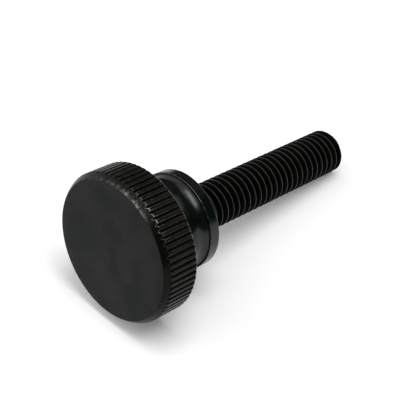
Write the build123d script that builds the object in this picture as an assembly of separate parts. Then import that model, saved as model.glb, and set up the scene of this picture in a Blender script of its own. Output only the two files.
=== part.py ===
from build123d import *
from math import atan, cos, degrees, radians, sin, sqrt, tan
import os

# All lengths in millimetres, angles in degrees.
head_diameter = 18.5          # over the tooth crests
head_thickness = 4.7          # flat face to the head's back
face_bevel_length = 0.87      # bevel round the flat face, along the axis
face_bevel_depth = 0.6        # the same bevel, across the axis
back_edge_bevel = 0.12        # small break on the teeth at the head's back
tooth_count = 75              # straight knurl, teeth along the axis
groove_depth = 0.2            # knurl groove below the crests
groove_angle = 90.0           # full angle between a groove's flanks
groove_overrun = 0.04         # how far the groove cutter stands out past the crests
cutter_margin = 2.0           # how far the knurl's cutting ring reaches past the head
neck_length = 5.36            # head's back to the collar
neck_diameter = 10.9          # straight part of the neck, behind the head
cove_radius = 1.8             # arc that flares the neck out to the collar
cove_flare = 0.5              # how much that arc adds to the neck's radius
collar_step = 0.2             # from the arc's end out to the collar's rim
collar_thickness = 1.4
collar_edge_bevel = 0.1
thread_diameter = 5.93        # outside of an M6 thread as cut, its turns left plain
thread_length = 27.5          # collar to tip
tip_bevel = 0.55              # lead-in at the thread's end, both ways

# Sizes that follow from those above.
head_radius = head_diameter / 2
thread_radius = thread_diameter / 2
collar_front = head_thickness + neck_length
collar_back = collar_front + collar_thickness
tip_position = collar_back + thread_length
tooth_step = 360.0 / tooth_count
neck_radius = neck_diameter / 2
neck_end_radius = neck_radius + cove_flare
collar_radius = neck_end_radius + collar_step
cove_length = sqrt(2 * cove_radius * cove_flare - cove_flare ** 2)
cove_start = collar_front - cove_length


def turned_blank():
    """The whole screw as one turned shape about +Z, flat face at the origin."""
    with BuildPart() as blank:
        with BuildSketch(Plane.XZ):
            with BuildLine():
                Polyline(
                    (0, 0),
                    (head_radius - face_bevel_depth, 0),
                    (head_radius, face_bevel_length),
                    (head_radius, head_thickness - back_edge_bevel),
                    (head_radius - back_edge_bevel, head_thickness),
                    (neck_radius, head_thickness),
                    (neck_radius, cove_start),
                )
                TangentArc((neck_radius, cove_start), (neck_end_radius, collar_front), tangent=(0, 1))
                Polyline(
                    (neck_end_radius, collar_front),
                    (collar_radius - collar_edge_bevel, collar_front),
                    (collar_radius, collar_front + collar_edge_bevel),
                    (collar_radius, collar_back - collar_edge_bevel),
                    (collar_radius - collar_edge_bevel, collar_back),
                    (thread_radius, collar_back),
                    (thread_radius, tip_position - tip_bevel),
                    (thread_radius - tip_bevel, tip_position),
                    (0, tip_position),
                    (0, 0),
                )
            make_face()
        revolve(axis=Axis.Z, revolution_arc=360)
    return blank.part


def knurl_ring():
    """A ring round the head's rim with the toothed outline on its inside."""
    outside = head_radius + cutter_margin
    flank_reach = groove_depth + groove_overrun
    half_width = degrees(flank_reach * tan(radians(groove_angle / 2)) / head_radius)
    root = head_radius - groove_depth
    top = root + flank_reach
    outline = []
    for tooth in range(tooth_count):
        middle = tooth * tooth_step
        for radius, angle in ((top, middle - half_width), (root, middle), (top, middle + half_width)):
            outline.append((radius * cos(radians(angle)), radius * sin(radians(angle))))
    with BuildPart() as ring:
        with BuildSketch(Plane.XY.offset(-cutter_margin)):
            Circle(outside)
            with BuildLine():
                Polyline(*outline, close=True)
            make_face(mode=Mode.SUBTRACT)
        extrude(amount=head_thickness + cutter_margin)
    return ring.part


def lay_down(screw):
    """Turn the screw onto its side, resting on two teeth and the thread's tip."""
    rim_radius = head_radius * cos(radians(tooth_step / 2))
    rim_position = head_thickness - back_edge_bevel
    fall = rim_radius - thread_radius
    run = tip_position - tip_bevel - rim_position
    tilt = degrees(atan(fall / run))
    lying = Rot(0, 90 + tilt, 0) * screw
    box = lying.bounding_box()
    middle = box.center()
    return Pos(-middle.X, -middle.Y, -box.min.Z) * lying


thumb_screw = lay_down(turned_blank() - knurl_ring())

os.makedirs("parts", exist_ok=True)
export_step(thumb_screw, "parts/thumb_screw.step")
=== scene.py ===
import bpy
import numpy as np
from mathutils import Euler, Matrix


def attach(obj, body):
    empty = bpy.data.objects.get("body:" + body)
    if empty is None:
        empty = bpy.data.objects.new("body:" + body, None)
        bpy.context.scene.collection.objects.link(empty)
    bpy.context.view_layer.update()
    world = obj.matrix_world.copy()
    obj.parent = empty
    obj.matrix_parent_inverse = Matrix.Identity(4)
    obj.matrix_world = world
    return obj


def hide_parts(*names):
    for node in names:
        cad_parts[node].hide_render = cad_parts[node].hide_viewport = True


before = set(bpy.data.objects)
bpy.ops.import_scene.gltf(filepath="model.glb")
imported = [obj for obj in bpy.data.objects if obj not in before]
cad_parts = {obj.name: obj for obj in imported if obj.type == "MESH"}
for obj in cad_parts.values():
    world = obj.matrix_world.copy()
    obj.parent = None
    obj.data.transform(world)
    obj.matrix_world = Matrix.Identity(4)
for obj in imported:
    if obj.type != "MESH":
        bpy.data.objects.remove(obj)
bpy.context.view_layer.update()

# ---- Knurled head --------------------------------------------------------
# The round head that the fingers turn: steel, turned and bevelled, with
# straight teeth rolled round its rim, then blackened. It is one piece with
# the neck, the collar and the thread, and the whole screw lies on its side.

HEAD_RADIUS = 9.25            # all sizes in millimetres
HEAD_THICKNESS = 4.7
BEVEL_LENGTH = 0.87
BEVEL_DEPTH = 0.6
BEVEL_BULGE = 0.38            # how much the bevel's slope is bowed outwards
BACK_BREAK = 0.12             # bevel of the head's back edge
TEETH = 75
GROOVE_DEPTH = 0.2
GROOVE_UNEVENNESS = 0.10      # spread of the grooves' depths, as a share
GROOVE_ROUNDING = 0.02        # how softly the flanks meet at a groove's bottom
TOOTH_ROUNDING = 0.018        # how softly a flank turns into the tooth's top
TOOTH_ROUNDING_REST = 0.0008  # what that rounding would take off the whole top
TOOTH_EDGE = 0.215            # from a groove's middle to its tooth's edge
TOOTH_EDGE_LINE_WIDTH = 0.02         # width of the bright line along that edge, rubbed metal and painted highlight

# How far the other stretches reach is needed here too, to lay the screw down.
NECK_LENGTH = 5.36
COLLAR_THICKNESS = 1.4
THREAD_LENGTH = 27.5
THREAD_RADIUS = 2.96
TIP_BEVEL = 0.55
SCREW_LENGTH = HEAD_THICKNESS + NECK_LENGTH + COLLAR_THICKNESS + THREAD_LENGTH
MILLIMETRE = 0.001
PLACES_PER_METRE = 1e8        # points at the same one of these places become one


def lying(radius, angle, along):
    """Place points of the screw on the floor, in metres, from their distance
    from its axis, their turn about it (0 is downwards) and their distance from
    the flat face. The axis drops by the tilt whose tangent is the difference
    in radius of the head's rim and the thread's tip over the length between
    them, so that both touch the floor. The screw is centred along X."""
    rim = HEAD_RADIUS * np.cos(np.pi / TEETH)
    rim_at = HEAD_THICKNESS - BACK_BREAK
    tip_at = SCREW_LENGTH - TIP_BEVEL
    tilt = np.arctan((rim - THREAD_RADIUS) / (tip_at - rim_at))
    level, drop = np.cos(tilt), np.sin(tilt)
    face_x = -(HEAD_RADIUS - BEVEL_DEPTH) * drop
    tip_x = max(SCREW_LENGTH * level + (THREAD_RADIUS - TIP_BEVEL) * drop,
                tip_at * level + THREAD_RADIUS * drop)
    lowest = -rim * level - rim_at * drop
    down = radius * np.cos(angle)
    side = radius * np.sin(angle)
    x = along * level - down * drop - (face_x + tip_x) / 2
    z = -along * drop - down * level - lowest
    return np.stack([x, side, z], axis=-1) * MILLIMETRE


def closed_skin(name, radius, angle, along, marks, turns=0):
    """Make a smooth mesh from a grid of rows along the screw and columns round
    it: each cell is two triangles. The last column joins the first one turns
    rows further on. Points at the same place, such as those on the axis at
    either end, become one. A mark is a number at each point of the grid."""
    rows, columns = radius.shape
    points = lying(radius, angle, along).reshape(-1, 3)
    _, first, same = np.unique(np.round(points * PLACES_PER_METRE).astype(np.int64), axis=0,
                               return_index=True, return_inverse=True)
    index = first[same.reshape(-1)].reshape(rows, columns)
    beside = np.empty_like(index)
    beside[:, :-1] = index[:, 1:]
    beside[:rows - turns, -1] = index[turns:, 0]
    beside[rows - turns:, -1] = index[-1, 0]
    a, b, c, d = index[:-1], beside[:-1], beside[1:], index[1:]
    triangles = np.concatenate([np.stack([a, b, c], -1).reshape(-1, 3),
                                np.stack([a, c, d], -1).reshape(-1, 3)])
    one, two, three = triangles.T
    triangles = triangles[(one != two) & (two != three) & (one != three)]
    used, triangles = np.unique(triangles, return_inverse=True)
    triangles = triangles.reshape(-1, 3)
    mesh = bpy.data.meshes.new(name)
    mesh.vertices.add(len(used))
    mesh.vertices.foreach_set("co", points[used].ravel())
    mesh.loops.add(triangles.size)
    mesh.loops.foreach_set("vertex_index", triangles.ravel().astype(np.int32))
    mesh.polygons.add(len(triangles))
    mesh.polygons.foreach_set("loop_start", np.arange(0, triangles.size, 3, dtype=np.int32))
    mesh.update(calc_edges=True)
    mesh.validate()
    mesh.polygons.foreach_set("use_smooth", np.ones(len(mesh.polygons), dtype=bool))
    for mark, value in marks.items():
        layer = mesh.attributes.new(mark, "FLOAT", "POINT")
        layer.data.foreach_set("value", value.reshape(-1)[used].astype(np.float32))
    piece = bpy.data.objects.new(name, mesh)
    bpy.context.scene.collection.objects.link(piece)
    return piece


def tooth_columns():
    """The turn of each column round the rim and its distance from the middle of
    the nearest groove. A tooth's columns are its groove's middle, seven places
    out from it, the tooth's middle and the same seven mirrored: they are
    closest together where a flank turns into the tooth's top."""
    step = 2 * np.pi * HEAD_RADIUS / TEETH
    half = np.array([0, 0.035, 0.09, 0.15, 0.18, 0.205, 0.235, 0.29])
    across = np.concatenate([half, [step / 2], step - half[:0:-1]])
    turn = (np.arange(TEETH)[:, None] + across[None, :] / step) * 2 * np.pi / TEETH
    return turn.reshape(-1), np.tile(np.minimum(across, step - across), TEETH)


def around(turn, middle, width):
    """A bell curve round the screw: one over e at width degrees from middle."""
    return np.exp(-((turn - np.radians(middle)) / np.radians(width)) ** 2)


def knurled_head():
    """Rows run from the middle of the flat face, over the bevel, along the
    teeth and down the back. A tooth's radius is the head's less a groove with
    straight flanks and rounded edges. The bevel bulges a little, and each row
    on it stops where it meets that radius, so the grooves run out in arches.
    The bright mark, of wear and painted highlight, is strongest where the lamp's highlight falls, on
    the bevel and on the teeth's ends."""
    turn, off = tooth_columns()
    rng = np.random.default_rng(7)
    deep = np.repeat(1 + GROOVE_UNEVENNESS * rng.standard_normal(TEETH), len(turn) // TEETH)
    flank = GROOVE_DEPTH * deep - np.sqrt(off ** 2 + GROOVE_ROUNDING ** 2) + GROOVE_ROUNDING
    groove = 0.5 * (flank + np.sqrt(flank ** 2 + TOOTH_ROUNDING ** 2)) - TOOTH_ROUNDING_REST
    rim = HEAD_RADIUS - np.clip(groove, 0, None)
    face = HEAD_RADIUS - BEVEL_DEPTH
    # How far a point of the teeth is from the grooves' painted shade.
    on_top = np.clip(1 - 1.6 * groove / GROOVE_DEPTH, 0, 1)

    def bevel(share):
        depth = (rim - face) / BEVEL_DEPTH * share
        return face + BEVEL_DEPTH * depth, BEVEL_LENGTH * (depth - BEVEL_BULGE * depth * (1 - depth))

    teeth_start = bevel(1)[1]
    back = np.minimum(rim, HEAD_RADIUS - BACK_BREAK)
    back_start = HEAD_THICKNESS - (rim - back)
    tooth_edge = np.exp(-((off - TOOTH_EDGE) / TOOTH_EDGE_LINE_WIDTH) ** 2)
    # Painted highlights, in degrees round from the underside, where the lamp's highlight falls:
    # one on the bevel, with a faint patch beside it, and one on the ends of the teeth, over a little
    # wear all round.
    painted_bevel_highlight = around(turn, 198, 13) + 0.22 * around(turn, 168, 18)
    tooth_end_wear_and_highlight = 0.12 + around(turn, 216, 17)
    rows = []

    def row(radius, along, wear_and_highlight, clean_and_unshaded):
        rows.append([np.broadcast_to(value, turn.shape) for value in (radius, along, wear_and_highlight, clean_and_unshaded)])

    # The flat face and its edge, onto which the bevel's painted highlight reaches.
    for share in (0, 0.3, 0.6, 0.85, 0.95, 0.985):
        row(face * share, 0, 0, 1)
    row(face - 0.03, 0, 0.04 + 0.6 * painted_bevel_highlight, 1)
    # The bevel, painted darker as shade, with a painted highlight near the face and wear and a
    # painted highlight near the teeth.
    for share in (0.02, 0.05, 0.12, 0.2, 0.3, 0.4, 0.5, 0.6, 0.7, 0.78, 0.86, 0.93, 0.97):
        at_teeth = max(0, (share - 0.82) / 0.18) ** 2
        at_face = np.exp(-((share - 0.1) / 0.35) ** 2)
        row(*bevel(share), np.clip(painted_bevel_highlight * at_face + tooth_end_wear_and_highlight * at_teeth, 0, 1), 0.3)
    # The teeth: a bright line along each tooth's edges, rubbed metal and painted highlight,
    # strongest at their ends; the grooves painted black as shade.
    for share in (0.006, 0.02, 0.06, 0.13, 0.25, 0.4, 0.55, 0.7, 0.85, 0.95, 0.985):
        tooth_wear_and_highlight = tooth_edge * (0.2 + tooth_end_wear_and_highlight * np.exp(-share / 0.2))
        row(rim, teeth_start + (back_start - teeth_start) * share,
            np.clip(tooth_wear_and_highlight, 0, 1), 0.85 * on_top)
    # The back edge, rubbed bright as wear and painted highlight, and the flat back.
    for share in (0.4, 0.9):
        row(back + (rim - back) * (1 - share),
            back_start + (HEAD_THICKNESS - back_start) * share, 1, 1)
    row(back - 0.02, HEAD_THICKNESS, 0.9, 1)
    for radius in (8.9, 8.6, 7.5, 6.0, 4.0, 0):
        row(radius, HEAD_THICKNESS, 0, 1)
    radius, along, wear_and_highlight, clean_and_unshaded = np.swapaxes(rows, 0, 1)
    angle = np.broadcast_to(turn, radius.shape)
    return closed_skin("knurled_head", radius, angle, along, {"wear_and_highlight": wear_and_highlight, "clean_and_unshaded": clean_and_unshaded})


BLUE_BLACK = (0.0008, 0.0034, 0.0027, 1)
WARM_BLACK = (0.0098, 0.0092, 0.0089, 1)
BROWN_STAIN = (0.0150, 0.0145, 0.0095, 1)
# Painted shade: the black in the knurl's grooves, the thread's roots, the collar step's corner and,
# in part, on the head's bevel.
PAINTED_SHADE_BLACK = (0.0008, 0.0008, 0.0006, 1)
# Grey metal, for rubbed wear and for painted highlights.
BARE_STEEL_AND_HIGHLIGHT = (0.30, 0.29, 0.27, 1)
GRAIN_HEIGHT = 0.00004        # metres


def blackened_steel(name, shine, roughness, brown, wear_and_highlight_level, even, grain):
    """Black oxide on satin steel: nearly black, cloudy in tone and gloss, a
    little brown where the mark of clean, unshaded surface falls under one, and
    painted black as shade where it falls to nought. It turns to grey metal where
    the mark of wear and painted highlight is high, in patches or, where even is
    near one, all along: rubbed metal, and painted highlights. The level of wear
    and highlight says how much of the metal shows there, and grain how rough the
    surface feels."""
    material = bpy.data.materials.new(name)
    material.use_nodes = True
    nodes, links = material.node_tree.nodes, material.node_tree.links
    shader = nodes["Principled BSDF"]
    place = nodes.new("ShaderNodeTexCoord").outputs["Object"]

    def feed(socket, value):
        if isinstance(value, bpy.types.NodeSocket):
            links.new(value, socket)
        else:
            socket.default_value = value

    def noise(scale, detail, rough=0.55):
        cells = nodes.new("ShaderNodeTexNoise")
        cells.inputs["Scale"].default_value = scale
        cells.inputs["Detail"].default_value = detail
        cells.inputs["Roughness"].default_value = rough
        links.new(place, cells.inputs["Vector"])
        return cells.outputs["Fac"]

    def spread(value, low, high, to_low, to_high):
        ramp = nodes.new("ShaderNodeMapRange")
        ramp.interpolation_type = "SMOOTHSTEP"
        links.new(value, ramp.inputs["Value"])
        for socket, number in zip(("From Min", "From Max", "To Min", "To Max"),
                                  (low, high, to_low, to_high)):
            ramp.inputs[socket].default_value = number
        return ramp.outputs["Result"]

    def blend(share, first, second):
        mix = nodes.new("ShaderNodeMix")
        mix.data_type = "RGBA"
        links.new(share, mix.inputs["Factor"])
        feed(mix.inputs[6], first)       # the node's two colour sockets
        feed(mix.inputs[7], second)
        return mix.outputs[2]            # and its colour result

    def maths(kind, first, second):
        step = nodes.new("ShaderNodeMath")
        step.operation = kind
        feed(step.inputs[0], first)
        feed(step.inputs[1], second)
        return step.outputs[0]

    def mark(attribute):
        reader = nodes.new("ShaderNodeAttribute")
        reader.attribute_name = attribute
        return reader.outputs["Fac"]

    cloud = noise(260, 4)            # clouds about four millimetres across
    patch = noise(160, 3)            # stains about six across
    fine = noise(2600, 3)            # grain, four tenths across
    speckle = noise(2000, 5, 0.75)   # what breaks up the rubbed metal
    black = blend(spread(cloud, 0.4, 0.66, 0, 1), BLUE_BLACK, WARM_BLACK)
    stain = maths("MULTIPLY", spread(patch, 0.3, 0.6, 0.3, brown),
                  spread(mark("clean_and_unshaded"), 0.85, 1, 1, 0.1))
    black = blend(stain, black, BROWN_STAIN)
    # Painted shade: black where the mark of clean, unshaded surface falls to nought.
    black = blend(mark("clean_and_unshaded"), PAINTED_SHADE_BLACK, black)
    # Grey metal where the mark of wear and highlight is high: rubbed metal, and painted highlights.
    wear_and_highlight_share = maths("MULTIPLY", mark("wear_and_highlight"), spread(speckle, 0.42, 0.6, even, 1))
    wear_and_highlight_share = maths("MULTIPLY", wear_and_highlight_share, wear_and_highlight_level)
    links.new(blend(wear_and_highlight_share, black, BARE_STEEL_AND_HIGHLIGHT), shader.inputs["Base Color"])
    links.new(maths("MULTIPLY", wear_and_highlight_share, 0.9), shader.inputs["Metallic"])
    gloss = maths("ADD", spread(cloud, 0.3, 0.7, roughness - 0.04, roughness + 0.05),
                  spread(fine, 0.3, 0.7, -0.03, 0.03))
    gloss = maths("ADD", gloss, spread(mark("clean_and_unshaded"), 0, 0.3, 0.3, 0))
    links.new(gloss, shader.inputs["Roughness"])
    shader.inputs["Specular IOR Level"].default_value = shine
    bump = nodes.new("ShaderNodeBump")
    bump.inputs["Strength"].default_value = grain
    bump.inputs["Distance"].default_value = GRAIN_HEIGHT
    links.new(maths("ADD", fine, maths("MULTIPLY", cloud, 1.5)), bump.inputs["Height"])
    links.new(bump.outputs["Normal"], shader.inputs["Normal"])
    return material


head = knurled_head()
head.data.materials.append(blackened_steel("blackened_head", shine=0.08, roughness=0.2,
                                           brown=0.8, wear_and_highlight_level=1.0, even=0.1, grain=0.25))
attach(head, "root")
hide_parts("thumb_screw")

# ---- Neck and collar -----------------------------------------------------
# The straight neck behind the head swells in a cove to a short round collar,
# whose flat back is what the screw clamps with. Turned with the head from one
# bar, smoother than the knurl, with its edges just broken.

NECK_RADIUS = 5.45
COVE_RADIUS = 1.8
COLLAR_RADIUS = 6.15
COLLAR_STEP = 0.28
NECK_END = HEAD_THICKNESS + NECK_LENGTH
COLLAR_END = NECK_END + COLLAR_THICKNESS
INSIDE_HEAD = 0.4             # the neck starts this far inside the head
NECK_COLUMNS = 240


def cove():
    """Distances from the face and radii along the neck: straight behind the
    head, then one arc that leaves it smoothly and meets the collar's step. On
    the arc the neck's radius grows by the arc's radius less the root of its
    square less the square of the way into the arc."""
    swell = COLLAR_RADIUS - COLLAR_STEP - NECK_RADIUS
    run = np.sqrt(2 * COVE_RADIUS * swell - swell ** 2)
    into = np.linspace(0, run, 24)
    return NECK_END - run + into, NECK_RADIUS + COVE_RADIUS - np.sqrt(COVE_RADIUS ** 2 - into ** 2)


def neck_and_collar():
    """Rows follow the turned outline from the axis inside the head to the
    middle of the collar's flat back, each one a circle, with four close rows
    at every broken edge. A row of the outline is its radius, its distance from
    the face, its share of wear and painted highlight, and how clean and unshaded
    it is: the step's corner is painted black as shade, and the collar's broken
    edges are rubbed bright, partly as painted highlights."""
    out, front, back = COLLAR_RADIUS, NECK_END, COLLAR_END
    broken_edge = ((0.09, 0), (0.05, 0.015), (0.015, 0.05), (0, 0.09))
    # The collar's broken edges rubbed bright: wear, and painted highlights.
    front_wear_and_highlight = (0.2, 0.5, 0.5, 0.25)
    back_wear_and_highlight = (0.4, 0.9, 0.9, 0.5)
    start = HEAD_THICKNESS - INSIDE_HEAD
    outline = [(0, start, 0, 1), (NECK_RADIUS, start, 0, 1)]
    outline += [(radius, along, 0, 1) for along, radius in zip(*cove())]
    # The step's corner, painted black as shade.
    outline += [(out - 0.26, front, 0, 0), (out - 0.11, front, 0, 0)]
    outline += [(out - inward, front + onward, wear_and_highlight_share, 1)
                for (inward, onward), wear_and_highlight_share in zip(broken_edge, front_wear_and_highlight)]
    outline += [(out, along, 0, 1) for along in (front + 0.14, (front + back) / 2, back - 0.14)]
    outline += [(out - inward, back - onward, wear_and_highlight_share, 1)
                for (inward, onward), wear_and_highlight_share in zip(broken_edge[::-1], back_wear_and_highlight[::-1])]
    outline += [(radius, back, 0, 1) for radius in (out - 0.15, 4.5, 2.9, 0)]
    turn = np.linspace(0, 2 * np.pi, NECK_COLUMNS, endpoint=False)
    shape = (len(outline), NECK_COLUMNS)
    radius, along, wear_and_highlight, clean_and_unshaded = (np.broadcast_to(value[:, None], shape)
                                for value in np.array(outline).T)
    angle = np.broadcast_to(turn, shape)
    return closed_skin("neck_and_collar", radius, angle, along, {"wear_and_highlight": wear_and_highlight, "clean_and_unshaded": clean_and_unshaded})


collar = neck_and_collar()
collar.data.materials.append(blackened_steel("blackened_neck", shine=0.34, roughness=0.21,
                                             brown=0.1, wear_and_highlight_level=0.6, even=0.1, grain=0.1))
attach(collar, "root")
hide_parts("thumb_screw")

# ---- Thread --------------------------------------------------------------
# A coarse six-millimetre thread, one millimetre a turn and right-handed,
# rolled up to the collar, with its first turn bevelled at the tip. Blackened
# like the rest, with the crests rubbed a little and given a painted highlight,
# and the flanks and roots painted darker as shade.

PITCH = 1.0
CREST_FLAT = 0.1
CREST_LINE_WIDTH = 0.036             # width of the bright line along the crest, rubbed metal and painted highlight
THREAD_DEPTH = 0.6
ROOT_RADIUS = THREAD_RADIUS - THREAD_DEPTH
ROOT_ROUNDING = 0.08
INSIDE_COLLAR = 0.6           # the thread starts this far inside the collar
END_SLOPE = 3.0               # how fast the rows past an end shrink to the axis
THREAD_COLUMNS = 112


def thread_profile(share):
    """The radius and the crest mark at a share of one turn's advance, the crest
    at 0: a flat crest, straight flanks sixty degrees apart, a rounded root."""
    off = np.abs((share + 0.5) % 1 - 0.5) * PITCH
    drop = np.clip(off - CREST_FLAT / 2, 0, None) * np.sqrt(3)
    deep = THREAD_RADIUS - ROOT_RADIUS
    radius = THREAD_RADIUS - 0.5 * (drop + deep - np.sqrt((drop - deep) ** 2 + ROOT_ROUNDING ** 2))
    return np.clip(radius, ROOT_RADIUS, THREAD_RADIUS), np.exp(-(off / CREST_LINE_WIDTH) ** 2)


def thread():
    """A grid sheared by the pitch, so that its rows follow the helix: a point's
    distance from the face is its row's advance and the pitch times its share
    of a turn. The thread goes on inside the collar, and past either end the
    rows shrink to the axis."""
    shares = np.array([-0.06, -0.045, 0, 0.045, 0.06, 0.1, 0.18, 0.27, 0.34, 0.4,
                       0.46, 0.54, 0.6, 0.66, 0.73, 0.82, 0.9])
    start = COLLAR_END - INSIDE_COLLAR
    first = start - 2.2 * PITCH
    turns = int(np.ceil((SCREW_LENGTH + 1.2 * PITCH - first) / PITCH))
    advance = (np.arange(turns)[:, None] + shares[None, :]).reshape(-1) * PITCH
    turn = np.arange(THREAD_COLUMNS) * 2 * np.pi / THREAD_COLUMNS
    place = first + advance[:, None] + PITCH * turn[None, :] / (2 * np.pi)
    share = np.broadcast_to(np.tile(shares, turns)[:, None], place.shape)
    radius, crest = thread_profile(share)
    bevel = THREAD_RADIUS - np.clip(place - (SCREW_LENGTH - TIP_BEVEL), 0, None)
    radius = np.minimum(radius, bevel)
    over = np.clip(place - SCREW_LENGTH, 0, None) * END_SLOPE
    under = np.clip(start - place, 0, None) * END_SLOPE
    radius = np.clip(radius - over - under, 0, None)
    along = np.clip(place, start, SCREW_LENGTH)
    # The crest's bright line, rubbed metal and painted highlight, kept off the bevelled tip.
    crest = crest * (bevel > THREAD_RADIUS - 0.1)
    # Flanks and roots painted darker as shade, black at the root.
    clean_and_unshaded = np.clip(1 - 8 * (THREAD_RADIUS - radius), 0, 1)
    angle = np.broadcast_to(turn, place.shape)
    return closed_skin("thread", radius, angle, along, {"wear_and_highlight": crest, "clean_and_unshaded": clean_and_unshaded},
                       turns=len(shares))


screw_thread = thread()
screw_thread.data.materials.append(blackened_steel("blackened_thread", shine=0.03, roughness=0.25,
                                                   brown=0.35, wear_and_highlight_level=0.38, even=0.7, grain=0.15))
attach(screw_thread, "root")
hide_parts("thumb_screw")

# ---- Floor, light and camera ---------------------------------------------
# A white table in a white room, under one oblong lamp overhead, with a dark
# upright screen in front of the screw. Sizes here are in metres.

TABLE_HALF = 3
TABLE_WHITE = 0.95
TABLE_LIFT = 0.14             # what brings the lit table up to white for the eye
ROOM_LIGHT = 0.95
SCREEN_GREY = 0.04
SCREEN_STEPS = 60


def seen_rays(tree):
    """One for rays of the camera, of a mirror-like surface and of glass, and
    nought for the rays that light things: the largest of the three marks."""
    path = tree.nodes.new("ShaderNodeLightPath")
    seen = path.outputs["Is Camera Ray"]
    for ray in ("Is Glossy Ray", "Is Transmission Ray"):
        larger = tree.nodes.new("ShaderNodeMath")
        larger.operation = "MAXIMUM"
        tree.links.new(seen, larger.inputs[0])
        tree.links.new(path.outputs[ray], larger.inputs[1])
        seen = larger.outputs[0]
    return seen


def matt(name, level):
    """A matt grey of one level and no gloss. Returns the material, its shader
    and its node tree."""
    material = bpy.data.materials.new(name)
    material.use_nodes = True
    shader = material.node_tree.nodes["Principled BSDF"]
    shader.inputs["Base Color"].default_value = (level, level, level, 1)
    shader.inputs["Specular IOR Level"].default_value = 0
    return material, shader, material.node_tree


def white_table():
    """A flat square at floor level, matt white."""
    near, far = -TABLE_HALF, TABLE_HALF
    mesh = bpy.data.meshes.new("table")
    mesh.from_pydata([(near, near, 0), (far, near, 0), (far, far, 0), (near, far, 0)],
                     [], [(0, 1, 2, 3)])
    material, shader, tree = matt("white_table", TABLE_WHITE)
    shader.inputs["Roughness"].default_value = 0.9
    shader.inputs["Emission Color"].default_value = (1, 1, 1, 1)
    lift = tree.nodes.new("ShaderNodeMath")
    lift.operation = "MULTIPLY"
    lift.inputs[1].default_value = TABLE_LIFT
    tree.links.new(seen_rays(tree), lift.inputs[0])
    tree.links.new(lift.outputs[0], shader.inputs["Emission Strength"])
    mesh.materials.append(material)
    table = bpy.data.objects.new("table", mesh)
    bpy.context.scene.collection.objects.link(table)
    return table


def white_room():
    """A world that lights at one level and is seen as plain white."""
    world = bpy.data.worlds.new("room")
    world.use_nodes = True
    tree = world.node_tree
    level = tree.nodes.new("ShaderNodeMix")
    level.inputs["A"].default_value = ROOM_LIGHT
    level.inputs["B"].default_value = 1.0
    tree.links.new(seen_rays(tree), level.inputs["Factor"])
    room = tree.nodes["Background"]
    room.inputs["Color"].default_value = (1, 1, 1, 1)
    tree.links.new(level.outputs["Result"], room.inputs["Strength"])
    return world


def dark_screen(start, end, distance, height):
    """An upright sheet bent round the screw from one bearing to the other, in
    degrees: foot points on a circle, and the same points at its height. It
    keeps the bright room out of the near sides. It only shades and reflects:
    the camera looks through it."""
    turn = np.radians(np.linspace(start, end, SCREEN_STEPS + 1))
    foot = np.stack([distance * np.cos(turn), distance * np.sin(turn), 0 * turn], -1)
    points = np.concatenate([foot, foot + (0, 0, height)])
    left = np.arange(SCREEN_STEPS)
    above = left + SCREEN_STEPS + 1
    quads = np.stack([left, left + 1, above + 1, above], -1)
    mesh = bpy.data.meshes.new("dark_screen")
    mesh.from_pydata(points.tolist(), [], quads.tolist())
    mesh.materials.append(matt("dark_cloth", SCREEN_GREY)[0])
    screen = bpy.data.objects.new("dark_screen", mesh)
    bpy.context.scene.collection.objects.link(screen)
    screen.visible_camera = False
    return screen


def lamp(name, place, sizes, power):
    """An oblong soft lamp that points at the middle of the screw. Its back is
    the line from there to its place, and its width is level."""
    data = bpy.data.lights.new(name, "AREA")
    data.shape = "RECTANGLE"
    data.size, data.size_y = sizes
    data.energy = power
    piece = bpy.data.objects.new(name, data)
    bpy.context.scene.collection.objects.link(piece)
    middle = (0, 0, 0.006)
    back = np.array(place, float) - middle
    back /= np.linalg.norm(back)
    side = np.cross([0, 1, 0], back)
    side /= np.linalg.norm(side)
    turned = np.eye(4)
    turned[:3] = np.stack([side, np.cross(back, side), back, place], axis=1)
    piece.matrix_world = Matrix(turned.tolist())
    return piece


def camera_at(place, nod, heading, lens):
    """A camera that looks down and is turned nod degrees up from there, then
    heading degrees about the upright."""
    data = bpy.data.cameras.new("camera")
    data.lens = lens
    data.sensor_width = 36
    data.clip_start = 0.005
    camera = bpy.data.objects.new("camera", data)
    bpy.context.scene.collection.objects.link(camera)
    turned = Euler((np.radians(nod), 0, np.radians(heading)))
    camera.matrix_world = Matrix.LocRotScale(place, turned, None)
    return camera


white_table()
bpy.context.scene.world = white_room()
dark_screen(start=-155, end=74, distance=0.45, height=0.62)
lamp("overhead", place=(0.022, -0.10, 0.405), sizes=(0.17, 0.31), power=0.95)
bpy.context.scene.camera = camera_at(place=(-0.074430, -0.072035, 0.098308),
                                     nod=47.89, heading=-44.7546, lens=96.27)
bpy.context.scene.view_settings.view_transform = "Standard"
